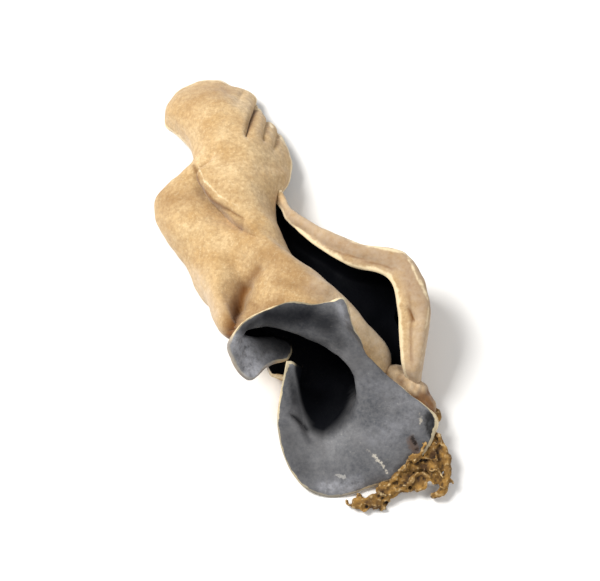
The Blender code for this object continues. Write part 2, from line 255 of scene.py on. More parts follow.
# %% Curves
def cubic_through(knots, points, wanted):
    """Smooth curve through the points at the given knots, read at the wanted places."""
    steps = np.diff(knots)
    widen = (-1, *[1] * (points.ndim - 1))
    slopes = np.diff(points, axis=0) / steps.reshape(widen)
    before, after = steps[:-1].reshape(widen), steps[1:].reshape(widen)
    inner = (slopes[:-1] * after + slopes[1:] * before) / (before + after)
    tangents = np.concatenate([slopes[:1], inner, slopes[-1:]])
    span = np.clip(np.searchsorted(knots, wanted, side="right") - 1, 0, len(steps) - 1)
    width = steps[span].reshape(widen)
    t = (wanted - knots[span]).reshape(widen) / width
    return (
        (2 * t**3 - 3 * t**2 + 1) * points[span]
        + (t**3 - 2 * t**2 + t) * width * tangents[span]
        + (3 * t**2 - 2 * t**3) * points[span + 1]
        + (t**3 - t**2) * width * tangents[span + 1]
    )


def run_along(points):
    """How far along a row of points each one lies."""
    return np.concatenate([[0.0], np.cumsum(np.linalg.norm(np.diff(points, axis=0), axis=1))])


# %% Grid of the sheet
FINE_STEPS = 600


def even_ring(ring, count):
    """The ring as a smooth curve, read at evenly spaced places."""
    points = np.array([place(*p) for p in ring])
    knots = run_along(points)
    fine = cubic_through(knots, points, np.linspace(0, knots[-1], FINE_STEPS))
    run = run_along(fine)
    wanted = np.linspace(0, run[-1], count)
    return np.stack([np.interp(wanted, run, fine[:, k]) for k in range(3)], axis=1)


def sheet_grid(rings, along, across):
    """Points in mm of the smooth sheet, and how far rows and rings are from the first ring."""
    even = np.array([even_ring(ring, across) for ring in rings])
    gaps = np.linalg.norm(np.diff(even, axis=0), axis=2).mean(axis=1)
    knots = np.concatenate([[0.0], np.cumsum(gaps)])
    rows = np.linspace(0, knots[-1], along)
    return cubic_through(knots, even, rows), rows, knots


def soften_bend(points, rows, bend_at, reach_mm, passes):
    """Rounds a bend that runs across the sheet, so that its thickness has room inside it."""
    share = np.exp(-(((rows - bend_at) / reach_mm) ** 2))[1:-1, None, None]
    for _ in range(passes):
        middle = (points[:-2] + 2 * points[1:-1] + points[2:]) / 4
        points[1:-1] += share * (middle - points[1:-1])
    return points


# %% [markdown]
# ## Measuring on the sheet
# The wrinkles, the margin's scallops and every mark need to know three things about a place on
# the sheet: which way it looks, how far the margin is, and how far a drawn line is. Whole grids
# are measured at once with numpy, which is far quicker than one vertex after another.

# %% Normals, noise and margins
# Moves each noise pattern to a place of its own.
NOISE_STEP = 17.3


def grid_normals(points):
    """Unit normals of a grid of points, on the side of the back."""
    along = np.gradient(points, axis=0)
    across = np.gradient(points, axis=1)
    normals = np.cross(along, across)
    return normals / np.maximum(np.linalg.norm(normals, axis=2, keepdims=True), 1e-9)


def soft_noise(points, size_mm, seed):
    """Smooth noise between about -1 and 1 at points in mm."""
    flat = points.reshape(-1, 3) / size_mm + seed * NOISE_STEP
    return np.array([noise.noise(Vector(p)) for p in flat]).reshape(points.shape[:-1])


def margin_distance(points):
    """How far each point of a grid is from the nearest margin, in mm, along the sheet."""
    down = np.linalg.norm(np.diff(points, axis=0), axis=2)
    over = np.linalg.norm(np.diff(points, axis=1), axis=2)
    down = np.concatenate([np.zeros((1, points.shape[1])), np.cumsum(down, axis=0)])
    over = np.concatenate([np.zeros((points.shape[0], 1)), np.cumsum(over, axis=1)], axis=1)
    return np.minimum.reduce([down, down[-1] - down, over, over[:, -1:] - over])


# %% Distance from drawn lines
def near_line(column, row, start, end):
    """Distance in mm, on the squared paper, from a line between two squares."""
    start, end = np.array(start), np.array(end)
    run = end - start
    t = ((column - start[0]) * run[0] + (row - start[1]) * run[1]) / (run @ run)
    t = np.clip(t, 0, 1)
    gap = np.hypot(column - start[0] - t * run[0], row - start[1] - t * run[1])
    return gap * SQUARE_MM


def strokes(column, row, lines):
    """Soft brush strokes: for every square, the strongest of the lines that pass it."""
    made = np.zeros(column.shape)
    for start, end, width, share in lines:
        stroke = share * np.exp(-((near_line(column, row, start, end) / width) ** 2))
        made = np.maximum(made, stroke)
    return made


# %% [markdown]
# ## Marks drawn as strokes
# Creases, stains, painted shade, dust, painted highlight and worn places are drawn on the squared
# paper as soft brush strokes. Each has a start square and an end square, and fades to its sides.
# A crease moves the mesh. The others become numbers on the vertices, which the materials turn
# into colour. Drawing them as lines keeps every one of them easy to move.

# %% Grooves and dents
# Grooves and creases: start and end square, depth and half width in mm.
GROOVES = [
    ((227.4, 303.6), (223.8, 317.5), 1.5, 0.62),
    ((231.4, 308.6), (229.6, 319.0), 0.8, 0.5),
    ((235.0, 314.0), (233.4, 322.0), 0.65, 0.5),
    ((222.0, 300.5), (219.5, 305.0), 0.3, 0.6),
    ((218.0, 344.5), (223.0, 347.8), 0.4, 0.6),
    ((223.0, 347.8), (222.5, 351.8), 0.5, 0.6),
    ((219.6, 388.5), (221.6, 379.0), 1.4, 1.2),
    ((221.6, 379.0), (224.0, 372.0), 1.2, 1.2),
    ((224.0, 372.0), (229.0, 366.0), 0.7, 1.2),
    ((281.0, 380.0), (283.0, 384.0), 0.8, 0.7),
    ((242.0, 350.5), (252.0, 357.5), 0.35, 0.6),
    ((252.0, 357.5), (264.0, 362.0), 0.35, 0.6),
    ((264.0, 362.0), (276.0, 365.5), 0.35, 0.6),
    ((281.5, 388.0), (281.0, 398.0), 0.35, 0.6),
]
# Dents in the inner face where it looks up: start and end square, depth and half width in mm.
DENTS = [
    ((239.6, 416.2), (245.6, 422.4), 0.6, 0.55),
    ((288.0, 418.0), (289.0, 422.0), 1.1, 1.2),
    ((282.4, 425.6), (284.0, 428.6), 0.7, 0.9),
    ((266.0, 428.6), (273.4, 436.0), 0.2, 0.5),
]
print("grooves", len(GROOVES), "dents", len(DENTS))

# %% Marks on the felt
# Brown stains on the back, and painted shade in its creases and valleys and where it is turned from
# the light: start and end square, width in mm, share of brown.
STAINS_AND_SHADE = [
    ((219.4, 389.0), (221.0, 381.0), 1.7, 1.0),
    ((221.0, 381.0), (223.2, 373.0), 2.0, 1.0),
    ((223.4, 373.0), (229.0, 366.0), 1.3, 0.6),
    ((226.0, 383.5), (236.0, 377.5), 1.6, 0.5),
    ((206.5, 332.0), (213.5, 342.5), 0.9, 0.35),
    ((205.4, 329.0), (208.0, 335.2), 0.35, 0.75),
    ((208.0, 335.2), (212.4, 340.9), 0.35, 0.8),
    ((212.4, 340.9), (219.0, 345.0), 0.35, 0.75),
    ((219.0, 345.0), (223.2, 348.0), 0.35, 0.65),
    ((223.2, 348.0), (223.4, 351.8), 0.35, 0.5),
    ((222.6, 376.0), (237.0, 383.0), 0.6, 0.45),
    ((217.6, 386.0), (219.8, 374.0), 0.5, 0.6),
    ((227.3, 304.0), (224.0, 317.2), 0.55, 1.0),
    ((231.6, 310.0), (230.6, 317.0), 0.4, 0.6),
    ((235.2, 315.0), (234.2, 321.0), 0.4, 0.6),
    ((214.0, 300.0), (220.0, 301.5), 0.6, 0.35),
    ((236.0, 370.0), (252.0, 373.5), 1.8, 0.4),
    ((232.0, 361.0), (246.0, 370.0), 2.4, 0.36),
    ((202.0, 302.6), (215.0, 301.0), 2.6, 0.22),
    ((196.0, 341.0), (205.0, 340.5), 2.4, 0.3),
    ((213.0, 336.0), (226.0, 342.0), 2.4, 0.12),
    ((226.0, 353.0), (235.0, 355.0), 2.2, 0.16),
    ((240.0, 347.0), (252.0, 356.4), 2.4, 0.36),
    ((252.0, 356.4), (280.0, 364.0), 2.8, 0.48),
    ((280.0, 364.0), (286.4, 380.0), 2.8, 0.5),
    ((286.4, 380.0), (283.0, 404.0), 2.6, 0.34),
    ((252.0, 358.6), (276.0, 366.0), 0.5, 0.7),
    ((281.0, 368.0), (282.2, 398.0), 0.5, 0.6),
    ((281.6, 380.5), (282.4, 383.5), 0.7, 1.0),
]
# Greyer, paler felt: start and end square, width in mm, share.
WASHES = [
    ((250.0, 372.0), (268.0, 389.0), 2.6, 0.75),
    ((268.0, 389.0), (284.0, 408.0), 2.4, 0.75),
    ((207.0, 368.0), (214.0, 381.0), 1.4, 0.5),
    ((238.0, 345.0), (252.0, 356.0), 2.0, 0.8),
    ((252.0, 356.0), (280.0, 365.0), 2.4, 0.9),
    ((280.0, 365.0), (286.0, 380.0), 2.4, 0.9),
    ((286.0, 380.0), (283.0, 404.0), 2.4, 0.8),
]
print("stains", len(STAINS_AND_SHADE), "washes", len(WASHES))

# %% Marks on the smooth face
# Painted shade on the inner face, where it lies deep, in its crack or turned from the light: start
# and end square, width in mm, share.
SHADES = [
    ((223.0, 386.0), (233.0, 380.6), 1.6, 0.75),
    ((232.0, 381.4), (246.0, 381.8), 3.2, 0.93),
    ((246.0, 381.8), (252.5, 385.0), 2.8, 0.88),
    ((253.0, 383.0), (256.5, 391.0), 1.8, 0.55),
    ((238.0, 386.6), (252.0, 391.0), 1.6, 0.6),
    ((231.0, 389.0), (238.5, 393.5), 2.4, 0.7),
    ((240.0, 416.6), (245.4, 422.4), 0.5, 0.9),
    ((237.4, 399.5), (238.6, 412.0), 1.4, 0.22),
    ((238.6, 399.5), (240.4, 412.0), 0.7, 0.45),
    ((239.0, 424.0), (244.0, 435.0), 2.8, 0.42),
    ((248.0, 432.0), (266.0, 427.0), 3.6, 0.18),
    ((258.0, 388.0), (265.0, 401.0), 2.0, 0.18),
]
# Pale dust on the inner face, and painted highlight where the flap, the strip's curl and the
# collar's peak catch the light: start and end square, width in mm, share.
DUST_AND_HIGHLIGHTS = [
    ((222.5, 391.0), (226.0, 401.0), 2.2, 1.0),
    ((226.0, 400.5), (232.0, 396.5), 1.0, 0.45),
    ((238.6, 397.6), (241.0, 397.4), 0.6, 0.7),
    ((252.0, 441.5), (263.0, 440.5), 1.6, 0.55),
    ((256.0, 378.0), (258.0, 384.0), 0.9, 0.5),
    ((266.0, 404.0), (284.0, 414.0), 2.2, 0.2),
    ((270.0, 424.0), (280.0, 418.0), 2.6, 0.25),
]
print("shades", len(SHADES), "dustings", len(DUST_AND_HIGHLIGHTS))

# %% Marks on the margin, and painted highlight
# Painted highlight, pale like the margin, along crests and rolled edges away from it: start and end
# square, width in mm, share.
HIGHLIGHT_LINES = [
    ((228.6, 307.6), (230.2, 309.6), 0.5, 0.8),
    ((231.4, 311.6), (232.2, 314.0), 0.45, 0.75),
    ((235.2, 316.6), (236.8, 320.0), 0.45, 0.7),
    ((206.8, 328.8), (209.4, 334.2), 0.4, 0.52),
    ((209.4, 334.2), (214.4, 339.8), 0.4, 0.52),
    ((214.4, 339.8), (221.0, 343.8), 0.4, 0.5),
    ((250.6, 351.4), (263.2, 357.4), 0.5, 0.62),
    ((263.2, 357.4), (279.8, 360.6), 0.5, 0.64),
    ((279.8, 360.6), (287.6, 377.5), 0.5, 0.62),
    ((287.6, 377.5), (286.0, 391.0), 0.5, 0.62),
    ((286.0, 391.0), (283.8, 402.0), 0.5, 0.6),
]
# Margins that are grey and not pale: start and end square, width in mm, share.
DULL_MARGINS = [
    ((218.0, 391.0), (225.0, 404.5), 1.6, 0.8),
    ((225.0, 404.5), (233.0, 399.0), 1.6, 0.85),
    ((236.0, 420.0), (240.0, 433.0), 1.2, 0.4),
    ((245.0, 443.0), (262.0, 445.0), 1.4, 0.7),
]
print("pale lines", len(HIGHLIGHT_LINES), "dull margins", len(DULL_MARGINS))

# %% [markdown]
# ## The throat's hollow
# Deep in the funnel hardly any light returns, and the slate there looks black. The outline of
# that hollow is drawn as a polygon. A line to the right that crosses the outline an odd number
# of times starts inside it, which is the usual test for a point in a polygon.

# %% Hollow
# The outline of the throat's dark hollow, as it is seen, in squares.
HOLLOW = [
    (228.0, 386.2), (231.3, 384.6), (238.0, 386.2), (245.4, 389.0), (253.0, 393.6), (259.5, 398.7),
    (262.9, 404.5), (264.0, 411.0), (262.8, 417.2), (259.6, 422.0), (255.2, 425.4), (250.4, 427.0),
    (245.6, 423.4), (242.0, 412.0), (240.4, 401.0), (240.5, 395.5), (236.0, 390.0),
]
# The hollow's edge is sharp under the collar and soft on the lip: rows, and fade there in mm.
HOLLOW_FADE_ROWS = (396.0, 418.0)
HOLLOW_FADE_MM = (0.7, 2.6)
# Towards the left it is sharp again: columns, and the share of the fade that is left there.
HOLLOW_FADE_COLUMNS = (244.0, 253.0)
HOLLOW_FADE_SHARES = (0.3, 1.0)
LEAST_FADE_MM = 0.5
# Below 1, the fade darkens quickly at first and slowly further in.
FADE_CURVE = 0.7


def in_hollow(column, row):
    """1 inside the throat's outline, fading to 0 at the outline itself."""
    inside = np.zeros(column.shape, bool)
    gap = np.full(column.shape, 1e9)
    for start, end in zip(HOLLOW, HOLLOW[1:] + HOLLOW[:1]):
        gap = np.minimum(gap, near_line(column, row, start, end))
        crosses = (start[1] > row) != (end[1] > row)
        reach = (row - start[1]) / ((end[1] - start[1]) or 1e-9)
        inside ^= crosses & (column < start[0] + (end[0] - start[0]) * reach)
    fade = np.interp(row, HOLLOW_FADE_ROWS, HOLLOW_FADE_MM)
    fade *= np.interp(column, HOLLOW_FADE_COLUMNS, HOLLOW_FADE_SHARES)
    fade = np.maximum(fade, LEAST_FADE_MM)
    return np.where(inside, np.clip(gap / fade, 0, 1) ** FADE_CURVE, 0.0)


# %% [markdown]
# ## Fine relief
# Drying pulls the sheet into shallow wrinkles, and its margin into small scallops. Both are
# moved in the mesh, along the sheet's own normal, so that they also show in the outline. Noise
# of three sizes gives the wrinkles, and the drawn grooves and dents go on top. A groove fades
# out where the sheet turns away, so that it marks only the side on which it was drawn.

# %% Wrinkles
# Height and size of each noise, in mm.
WRINKLES = [(0.34, 7.0), (0.16, 2.6), (0.05, 1.1)]
SCALLOP_MM = 0.55
SCALLOP_SIZE_MM = 3.4
SCALLOP_REACH_MM = 1.8
# How quickly a mark fades where the sheet turns away.
TURN_FADE = 3.0


def wrinkle(points, seed):
    """The grid with its dried wrinkles, its scallops and its drawn grooves."""
    normals = grid_normals(points)
    edge = margin_distance(points)
    column, row = squares(points)
    lift = np.zeros(edge.shape)
    for step, (height, size_mm) in enumerate(WRINKLES):
        lift += height * soft_noise(points, size_mm, seed + step)
    scallops = soft_noise(points, SCALLOP_SIZE_MM, seed + len(WRINKLES))
    lift += SCALLOP_MM * np.exp(-edge / SCALLOP_REACH_MM) * scallops
    for marks, side in ((GROOVES, 1), (DENTS, -1)):
        looks_up = np.clip(side * normals[..., 2] * TURN_FADE, 0, 1)
        for start, end, depth, half_width in marks:
            gap = near_line(column, row, start, end)
            lift -= side * depth * looks_up * np.exp(-((gap / half_width) ** 2))
    return points + normals * lift[..., None], edge


# %% [markdown]
# ## From points to a leathery sheet
# `bmesh.ops.create_grid` makes a flat grid, and every vertex is moved to its place on the
# surface. Six numbers are kept on each vertex for the materials: how near the margin or a line of
# painted highlight is, how much painted shade the place gets where it lies deep or is turned from
# the light, how much brown of stains and painted shade lies in its creases, how dusty or lit by
# painted highlight it is, and how washed out and dull it is. The Solidify modifier gives the
# thickness. A vertex group makes it thinner towards the margin, and its material offsets give the
# inner face and the rim finishes of their own.

# %% Objects and their finishes
FINISHES = ("tan felt back", "slate smooth face", "pale cut margin")
finishes = {name: bpy.data.materials.new(name) for name in FINISHES}


def to_object(name, bm, material_names):
    """Makes a smooth-shaded object of the bmesh, with these finishes in its slots."""
    mesh = bpy.data.meshes.new(name)
    for face in bm.faces:
        face.smooth = True
    bm.to_mesh(mesh)
    bm.free()
    for material_name in material_names:
        mesh.materials.append(finishes[material_name])
    obj = bpy.data.objects.new(name, mesh)
    bpy.context.scene.collection.objects.link(obj)
    return obj


def bake(obj):
    """Applies the object's modifiers, so that its mesh is what shows."""
    bpy.context.view_layer.objects.active = obj
    for modifier in list(obj.modifiers):
        bpy.ops.object.modifier_apply(modifier=modifier.name)
    return obj


# %% Leathery sheet
SHEET_MM = 1.0
# The margin's share of the full thickness, and how far in from the margin the sheet is thinner.
MARGIN_SHARE = 0.62
THIN_REACH_MM = 0.9
# How far the margin's pale colour reaches, and how steep the sheet is where the lines of painted
# highlight end.
PALE_REACH_MM = 1.0
PALE_TURN = 0.6


def leathery_sheet(name, points, edge, deep):
    """A closed sheet on a grid of points in mm, with its six numbers on every vertex."""
    along, across = points.shape[:2]
    column, row = squares(points)
    upward = np.clip(grid_normals(points)[..., 2] * TURN_FADE - PALE_TURN, 0, 1)
    # Painted highlight along the highlight lines, only where the sheet looks up to the light.
    pale = strokes(column, row, HIGHLIGHT_LINES) * upward
    # Painted shade: the throat's hollow and the shade strokes on the inner face.
    dark = np.maximum(strokes(column, row, SHADES), in_hollow(column, row))
    kept = {
        "margin_and_highlight": np.maximum(np.exp(-edge / PALE_REACH_MM), pale),
        "painted_shade": np.maximum(deep, dark),
        "stain_and_shade": strokes(column, row, STAINS_AND_SHADE),
        "dust_and_highlight": strokes(column, row, DUST_AND_HIGHLIGHTS),
        "washed": strokes(column, row, WASHES),
        "dulled": strokes(column, row, DULL_MARGINS),
    }
    bm = bmesh.new()
    layers = {key: bm.verts.layers.float.new(key) for key in kept}
    bmesh.ops.create_grid(bm, x_segments=along - 1, y_segments=across - 1, size=0.5)
    thickness = []
    for vert in bm.verts:
        i = round((vert.co.x + 0.5) * (along - 1))
        j = round((vert.co.y + 0.5) * (across - 1))
        vert.co = Vector(points[i, j]) * MM
        for key, layer in layers.items():
            vert[layer] = kept[key][i, j]
        thickness.append(1.0 - (1.0 - MARGIN_SHARE) * math.exp(-edge[i, j] / THIN_REACH_MM))
    obj = to_object(name, bm, FINISHES)
    group = obj.vertex_groups.new(name="thickness")
    for index, weight in enumerate(thickness):
        group.add([index], weight, "REPLACE")
    thick = obj.modifiers.new("thick", "SOLIDIFY")
    thick.thickness = SHEET_MM * MM
    thick.offset = 0.0
    thick.vertex_group = "thickness"
    thick.material_offset = 1
    thick.material_offset_rim = 2
    return bake(obj)


# %% [markdown]
# ## The funnel and the second lobe
# Both are leathery sheets from the same builder. The funnel is one sheet with the tongue at its
# far end. Its bend into the throat is rounded first, or the thick sheet would cut into itself
# there. The second lobe's inner face lies wholly in shade, so all of it counts as deep.

# %% Funnel
FUNNEL_STEPS = (150, 200)
THROAT_FADE_MM = 7.0
BEND_REACH_MM = 4.0
BEND_PASSES = 6
FUNNEL_SEED = 1

smooth_funnel, funnel_rows, funnel_knots = sheet_grid(FUNNEL_RINGS, *FUNNEL_STEPS)
soften_bend(smooth_funnel, funnel_rows, funnel_knots[THROAT_RING], BEND_REACH_MM, BEND_PASSES)
funnel_points, funnel_edge = wrinkle(smooth_funnel, FUNNEL_SEED)
# Painted shade: the sheet turns near black over this reach past the throat's bend.
past_throat = np.clip((funnel_knots[THROAT_RING] - funnel_rows) / THROAT_FADE_MM, 0, 1)
funnel_deep = np.repeat(past_throat[:, None], FUNNEL_STEPS[1], axis=1)
ear = leathery_sheet("wood_ear_sheet", funnel_points, funnel_edge, funnel_deep)
print("funnel faces", len(ear.data.polygons))

# %% Second lobe
LOBE_STEPS = (86, 58)
LOBE_SEED = 5

smooth_lobe, _, _ = sheet_grid(LOBE_RINGS, *LOBE_STEPS)
lobe_points, lobe_edge = wrinkle(smooth_lobe, LOBE_SEED)
lobe = leathery_sheet("second_lobe", lobe_points, lobe_edge, np.ones(LOBE_STEPS))
print("lobe faces", len(lobe.data.polygons))

# %% [markdown]
# ## The foot
# Where an ear leaves the wood it is thick and solid. An icosphere is stretched along the line
# from the funnel's side to the holdfast, which gives a tapered, rounded foot with no pole. A
# Boolean modifier then joins the lobe and the foot to the funnel.

# %% Foot
FOOT_ENDS = ((273.4, 400.0, 5.2), (289.4, 417.8, 3.3))
FOOT_RADII = (3.3, 3.5)
# Height and size of each bump, in mm.
FOOT_BUMPS = [(0.6, 2.4), (0.25, 0.9)]
FOOT_WASH = 0.6
# Share of brown: in general, added towards the holdfast, taken off on a bump so that painted shade
# lies between the bumps, and at most.
FOOT_STAIN = 0.5
STAIN_TO_HOLDFAST = 0.4
SHADE_PER_BUMP_MM = 1.2
MOST_STAIN = 0.9


def make_foot():
    """The thick bumpy foot, browner towards the holdfast, with painted shade between its bumps."""
    start, end = (Vector(place(*p)) for p in FOOT_ENDS)
    run = end - start
    side = run.cross(Vector((0, 0, 1))).normalized()
    rise = side.cross(run).normalized()
    bm = bmesh.new()
    stain_and_shade = bm.verts.layers.float.new("stain_and_shade")
    washed = bm.verts.layers.float.new("washed")
    bmesh.ops.create_icosphere(bm, subdivisions=6, radius=1.0)
    for vert in bm.verts:
        x, y, z = vert.co
        point = start + run * (z + 1) / 2 + side * x * FOOT_RADII[0] + rise * y * FOOT_RADII[1]
        bump = sum(height * noise.noise(point / size_mm) for height, size_mm in FOOT_BUMPS)
        brown_and_shade = FOOT_STAIN + STAIN_TO_HOLDFAST * z - SHADE_PER_BUMP_MM * bump
        vert[washed] = FOOT_WASH
        vert[stain_and_shade] = min(max(brown_and_shade, 0.0), MOST_STAIN)
        vert.co = (point + (side * x + rise * y) * bump) * MM
    return to_object("foot", bm, FINISHES[:1])


# %% Fuse the sheet
def fuse(obj, other):
    """Joins another closed mesh to the object with a Boolean union."""
    join = obj.modifiers.new(f"fuse {other.name}", "BOOLEAN")
    join.operation = "UNION"
    join.solver = "MANIFOLD"
    join.object = other
    bake(obj)
    bpy.data.objects.remove(other, do_unlink=True)


fuse(ear, lobe)
fuse(ear, make_foot())
# Nothing reaches below the table that the ear lies on.
for vertex in ear.data.vertices:
    vertex.co.z = max(vertex.co.z, 0.0)
print("fused sheet faces", len(ear.data.polygons))

# %% [markdown]
# ## The holdfast
# The holdfast is torn felt and crumbs of bark. Its parts are rough lumps, rounded ridges where
# the felt tore along the lip, a hook at its outer side, and small torn curls. A lump is an
# icosphere, and a ridge is a row of them along a drawn line. A curl is a strip of felt that dried
# rolled up: its small grid is bent round an axis that lies nearly flat, and its long edges are
# frayed with noise. A voxel Remesh melts all of them into one skin. How proud a point stands of
# its smoothed neighbours is kept on the vertex, so that crests can be pale, partly with painted
# highlight, and pits dark with painted shade.

# %% Lumps
# Middle of each lump (square and height), and its three radii in mm.
HOLDFAST_LUMPS = [
    ((288.0, 417.5, 2.6), (3.0, 3.2, 2.3)),
    ((285.0, 424.0, 2.0), (3.4, 3.0, 2.2)),
    ((289.0, 428.0, 2.3), (2.7, 3.4, 2.4)),
    ((289.6, 434.5, 2.1), (2.4, 3.2, 2.1)),
    ((284.0, 434.0, 1.9), (3.4, 2.4, 1.9)),
    ((283.6, 439.6, 2.3), (2.6, 1.7, 1.0)),
    ((278.5, 438.5, 1.7), (3.0, 2.2, 2.0)),
    ((273.5, 442.5, 1.6), (3.0, 2.0, 1.8)),
    ((268.5, 446.5, 1.3), (2.4, 1.9, 1.5)),
    ((263.5, 447.0, 1.0), (2.0, 1.6, 1.2)),
]
LUMP_SHRINK = 0.82
LUMP_DENTS = 0.25
DENT_SCALE = 1.7


def add_lump(bm, middle, radii):
    """One rough lump: an icosphere that is stretched and then dented with noise."""
    centre = Vector(place(*middle))
    made = bmesh.ops.create_icosphere(bm, subdivisions=3, radius=1.0)["verts"]
    for vert in made:
        x, y, z = vert.co
        size = LUMP_SHRINK * (1.0 + LUMP_DENTS * noise.noise(vert.co * DENT_SCALE + centre))
        vert.co = (centre + Vector((x * radii[0], y * radii[1], z * radii[2])) * size) * MM


print("lumps", len(HOLDFAST_LUMPS))

# %% Ridges
# Radius in mm, and the squares and heights that each ridge runs through.
RIDGES = [
    (0.50, [(286.8, 426.4, 5.0), (284.6, 430.0, 4.5), (281.3, 432.0, 4.1), (277.9, 435.8, 3.6)]),
    (0.50, [(277.0, 437.2, 3.4), (274.4, 440.4, 3.0), (270.6, 442.6, 2.6)]),
    (0.45, [(270.0, 443.6, 2.5), (266.0, 445.6, 2.1), (262.0, 446.2, 1.6)]),
    (0.55, [(291.4, 423.5, 4.4), (293.0, 427.0, 4.2), (293.8, 431.0, 3.8)]),
    (0.85, [(293.0, 429.0, 3.6), (294.2, 434.0, 3.1), (294.0, 439.0, 2.6), (292.4, 443.2, 1.8),
            (289.4, 444.4, 1.4)]),
    (0.60, [(287.4, 437.6, 3.4), (283.6, 436.4, 3.6), (280.0, 440.6, 3.0), (276.6, 443.0, 2.2)]),
    (0.45, [(287.6, 438.0, 3.3), (286.4, 441.6, 2.6), (283.6, 442.6, 2.2)]),
    (0.40, [(274.0, 444.6, 1.9), (270.6, 447.4, 1.5), (266.4, 449.0, 1.1)]),
]
RIDGE_STEP_MM = 0.3
RIDGE_SWELL = 0.45
SWELL_SCALE = 1.1
RIDGE_WANDER_MM = 0.35
WANDER_SCALE = 0.8
# Blender's vector noise starts from the clock, unless it is given a seed. With this one no bit
# of the holdfast comes loose when the voxels melt it.
RIDGE_SEED = 4
noise.seed_set(RIDGE_SEED)


def add_ridge(bm, radius, path):
    """A bumpy rounded ridge: small icospheres along a line drawn through the path."""
    for start, end in zip(path, path[1:]):
        start, end = Vector(place(*start)), Vector(place(*end))
        count = math.ceil((end - start).length / RIDGE_STEP_MM)
        for step in range(count + 1):
            middle = start.lerp(end, step / count)
            size = radius * (1.0 + RIDGE_SWELL * noise.noise(middle * SWELL_SCALE))
            wander = RIDGE_WANDER_MM * noise.noise_vector(middle * WANDER_SCALE)
            made = bmesh.ops.create_icosphere(bm, subdivisions=2, radius=size)["verts"]
            for vert in made:
                vert.co = (vert.co + middle + wander) * MM


print("ridges", len(RIDGES))

# %% Curls
# Seat of the curls (square and height), how many there are, and their size in mm.
CURL_SEATS = [
    ((288.5, 423.5, 4.6), 2, 1.0), ((290.0, 430.0, 4.0), 3, 1.3), ((288.0, 434.5, 3.8), 3, 1.3),
    ((284.5, 434.0, 3.8), 3, 1.1), ((291.5, 438.5, 2.6), 2, 1.2), ((280.0, 437.5, 3.2), 4, 1.1),
    ((276.0, 440.5, 2.8), 4, 1.1), ((271.5, 443.5, 2.4), 4, 1.1), ((267.0, 446.5, 2.0), 5, 1.0),
    ((262.5, 448.0, 1.4), 4, 0.9), ((272.0, 446.5, 1.6), 3, 1.0), ((281.5, 441.5, 2.2), 3, 1.0),
]
CURL_SEED = 7
CURL_GRID = (15, 7)
CURL_THICKNESS_MM = 0.5
CRUMBS = "crumbly ochre holdfast"
finishes[CRUMBS] = bpy.data.materials.new(CRUMBS)


def add_curl(bm, seat, size, chance):
    """One torn curl near a seat, its size being the radius of its roll in mm."""
    radius = size * chance.uniform(0.5, 0.95)
    wrap = chance.uniform(2.4, 5.2)
    width = size * chance.uniform(0.9, 1.8)
    spin = Matrix.Rotation(chance.uniform(0, 2 * math.pi), 3, "Z")
    tip = Matrix.Rotation(chance.uniform(-0.8, 0.8), 3, "Y")
    roll = Matrix.Rotation(chance.uniform(-1.2, 1.2), 3, "X")
    seat = seat + Vector((chance.gauss(0, 0.8), chance.gauss(0, 0.8), chance.uniform(-1.2, 0)))
    fray = chance.uniform(0, 50)
    made = bmesh.ops.create_grid(bm, x_segments=CURL_GRID[0] - 1, y_segments=CURL_GRID[1] - 1,
                                 size=0.5)["verts"]
    for vert in made:
        along, over = vert.co.x, vert.co.y
        over *= width * (1.0 + 0.7 * noise.noise(Vector((along * 4, fray, 0))))
        over += 0.25 * width * math.sin(3 * along + fray)
        angle = along * wrap
        swell = radius * (1.0 + 0.3 * noise.noise(Vector((along * 3, over, fray))))
        local = Vector((math.sin(angle) * swell, over, -math.cos(angle) * swell + radius * 0.4))
        vert.co = (seat + spin @ (tip @ (roll @ local))) * MM


def make_curls():
    """All the curls in one mesh. The seed makes every run draw the same ones."""
    chance = random.Random(CURL_SEED)
    bm = bmesh.new()
    for middle, count, size in CURL_SEATS:
        for _ in range(count):
            add_curl(bm, Vector(place(*middle)), size, chance)
    obj = to_object("curls", bm, [CRUMBS])
    thick = obj.modifiers.new("thick", "SOLIDIFY")
    thick.thickness = CURL_THICKNESS_MM * MM
    thick.offset = 0.0
    return bake(obj)


# %% [markdown]
# ## Melting the holdfast into one skin
# The smoothing that measures how proud a point stands moves every vertex, so the rough places
# are kept aside first and put back after. The voxels are small enough for the finest curl.

# %% Melt and roughen
VOXEL_MM = 0.17
SMOOTHING = 0.6
SOFTEN_PASSES = 1
MEASURE_PASSES = 10
CRUMB_MM = 1.1
CRUMB_HEIGHT_MM = 0.22
CRUMB_OCTAVES = 3
# Turbulence is never below zero, so the skin is drawn in by about its average.
CRUMB_SINK_MM = 0.1


def smooth(bm, passes):
    """Moves every vertex towards its neighbours, and brings the normals up to date."""
    for _ in range(passes):
        bmesh.ops.smooth_vert(bm, verts=bm.verts, factor=SMOOTHING, use_axis_x=True,
                              use_axis_y=True, use_axis_z=True)
    bm.normal_update()


def raw_holdfast():
    """Curls, lumps and ridges in one mesh, before they are melted."""
    curls = make_curls()
    bm = bmesh.new()
    bm.from_mesh(curls.data)
    bpy.data.objects.remove(curls, do_unlink=True)
    for middle, radii in HOLDFAST_LUMPS:
        add_lump(bm, middle, radii)
    for radius, path in RIDGES:
        add_ridge(bm, radius, path)
    return to_object("holdfast", bm, [CRUMBS])


